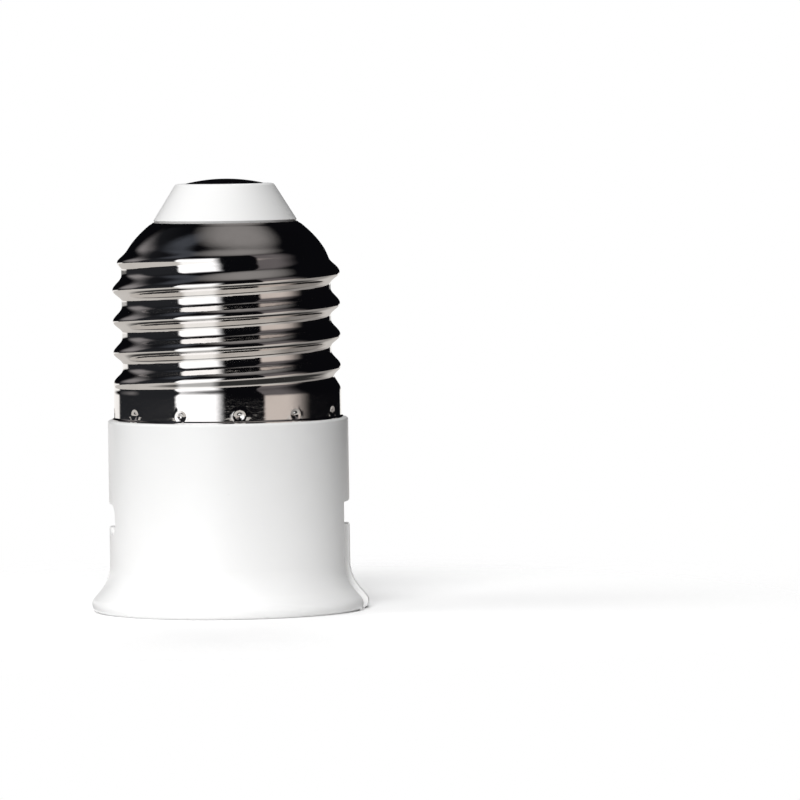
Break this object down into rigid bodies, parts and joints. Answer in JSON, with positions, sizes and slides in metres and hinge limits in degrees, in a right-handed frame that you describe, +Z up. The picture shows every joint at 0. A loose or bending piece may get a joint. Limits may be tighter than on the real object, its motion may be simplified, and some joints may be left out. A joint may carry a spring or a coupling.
{
  "type": "lamp socket adapter",
  "caption": "White lamp socket adapter: a screw cap with a domed tip contact on one end, a flared bayonet socket with sprung plungers on the other.",
  "frame": {"origin": "centre of the mouth plane, on which the adapter stands", "axes": "+Z up the axis from the mouth to the tip contact; the plungers stand on the Y axis and the slot pockets on the X axis"},
  "size_m": [0.0322, 0.0322, 0.05],
  "materials": {
    "white_plastic": "smooth white moulding",
    "carrier_plastic": "satin white moulding",
    "insulator_plastic": "smooth white moulding",
    "nickel_plate": "bright nickel plate on rolled sheet",
    "contact_plate": "bright plate",
    "plunger_brass": "turned, warm copper tone",
    "terminal_brass": "pressed sheet",
    "spring_steel": "drawn wire",
    "screw_steel": "zinc plate",
    "lead_insulation": "red insulation"
  },
  "bodies": {
    "adapter": {"housing": "white_plastic", "contact_carrier": "carrier_plastic", "spring_a": "spring_steel", "spring_b": "spring_steel", "terminal_a": "terminal_brass", "terminal_b": "terminal_brass", "terminal_screw_a": "screw_steel", "terminal_screw_b": "screw_steel", "shell_strip": "terminal_brass", "centre_lead": "lead_insulation", "screw_shell": "nickel_plate", "tip_insulator": "insulator_plastic", "centre_contact": "contact_plate"},
    "contact_a": {"plunger_a": "plunger_brass"},
    "contact_b": {"plunger_b": "plunger_brass"}
  },
  "joints": [
    {"name": "plunger_a_slide", "type": "slide", "parent": "adapter", "child": "contact_a", "axis": [0, 0, 1], "range_m": [0, 0.0042], "stiffness_N_per_m": 400, "springref_m": -0.006, "deforming": ["spring_a"]},
    {"name": "plunger_b_slide", "type": "slide", "parent": "adapter", "child": "contact_b", "axis": [0, 0, 1], "range_m": [0, 0.0042], "stiffness_N_per_m": 400, "springref_m": -0.006, "deforming": ["spring_b"]}
  ]
}
